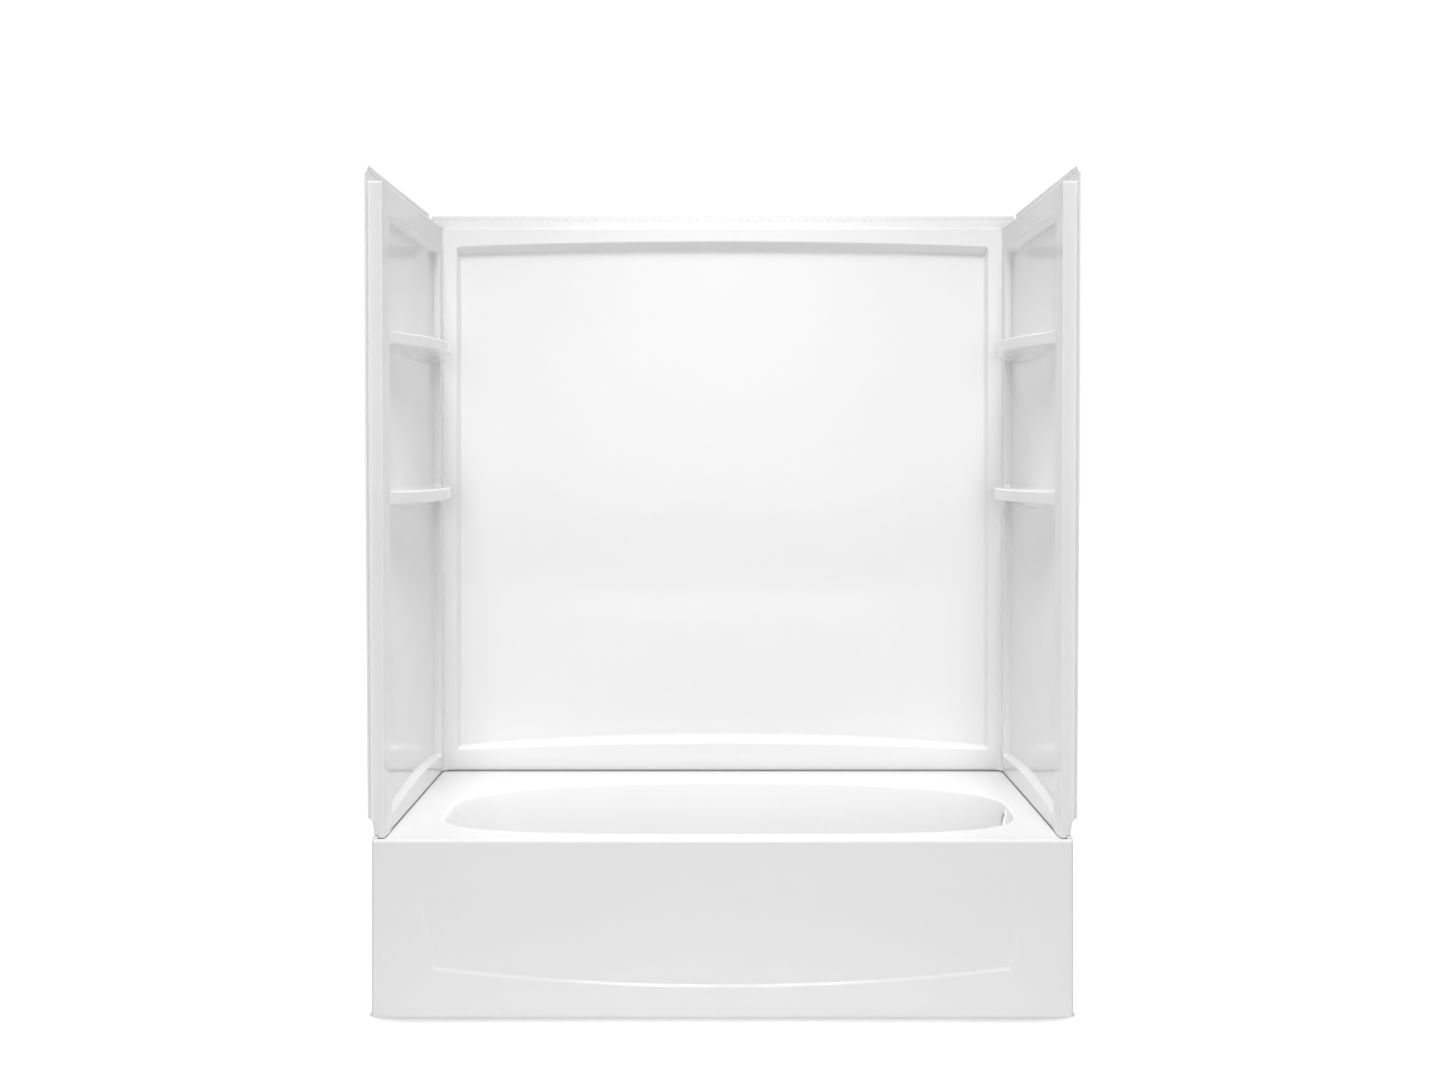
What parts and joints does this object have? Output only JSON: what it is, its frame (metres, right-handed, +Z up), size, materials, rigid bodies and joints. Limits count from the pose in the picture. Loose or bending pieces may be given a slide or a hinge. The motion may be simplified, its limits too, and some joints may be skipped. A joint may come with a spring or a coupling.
{
  "type": "alcove tub and shower unit",
  "caption": "Moulded alcove bath with an apron front under a wall surround, with recessed panels, moulded shelves, nailing flanges, a drain and an overflow opening.",
  "frame": {"origin": "on the floor, midway along the bath and midway from the apron's face to the back of the nailing flanges", "axes": "+X along the bath towards the drain end, +Y from the apron towards the back wall, +Z up"},
  "size_m": [1.5302, 0.762, 1.82],
  "materials": {
    "bath_white": "gloss",
    "wall_white": "gloss",
    "seal_white": "satin",
    "clip_grey": "satin",
    "screw_steel": "satin",
    "pad_foam": "matte"
  },
  "bodies": {
    "root": {"back_deck_clip_1": "clip_grey", "back_deck_clip_2": "clip_grey", "back_deck_clip_3": "clip_grey", "back_deck_seal": "seal_white", "back_wall": "wall_white", "basin_support_pad": "pad_foam", "bathtub": "bath_white", "corner_clip_screw_1": "screw_steel", "corner_clip_screw_2": "screw_steel", "corner_clip_screw_3": "screw_steel", "corner_clip_screw_4": "screw_steel", "corner_clip_screw_5": "screw_steel", "corner_clip_screw_6": "screw_steel", "deck_clip_screw_1": "screw_steel", "deck_clip_screw_2": "screw_steel", "deck_clip_screw_3": "screw_steel", "deck_clip_screw_4": "screw_steel", "deck_clip_screw_5": "screw_steel", "deck_clip_screw_6": "screw_steel", "deck_clip_screw_7": "screw_steel", "left_corner_clip_1": "clip_grey", "left_corner_clip_2": "clip_grey", "left_corner_clip_3": "clip_grey", "left_corner_seal": "seal_white", "left_deck_clip_1": "clip_grey", "left_deck_clip_2": "clip_grey", "left_deck_seal": "seal_white", "left_end_wall": "wall_white", "right_corner_clip_1": "clip_grey", "right_corner_clip_2": "clip_grey", "right_corner_clip_3": "clip_grey", "right_corner_seal": "seal_white", "right_deck_clip_1": "clip_grey", "right_deck_clip_2": "clip_grey", "right_deck_seal": "seal_white", "right_end_wall": "wall_white"}
  },
  "joints": []
}
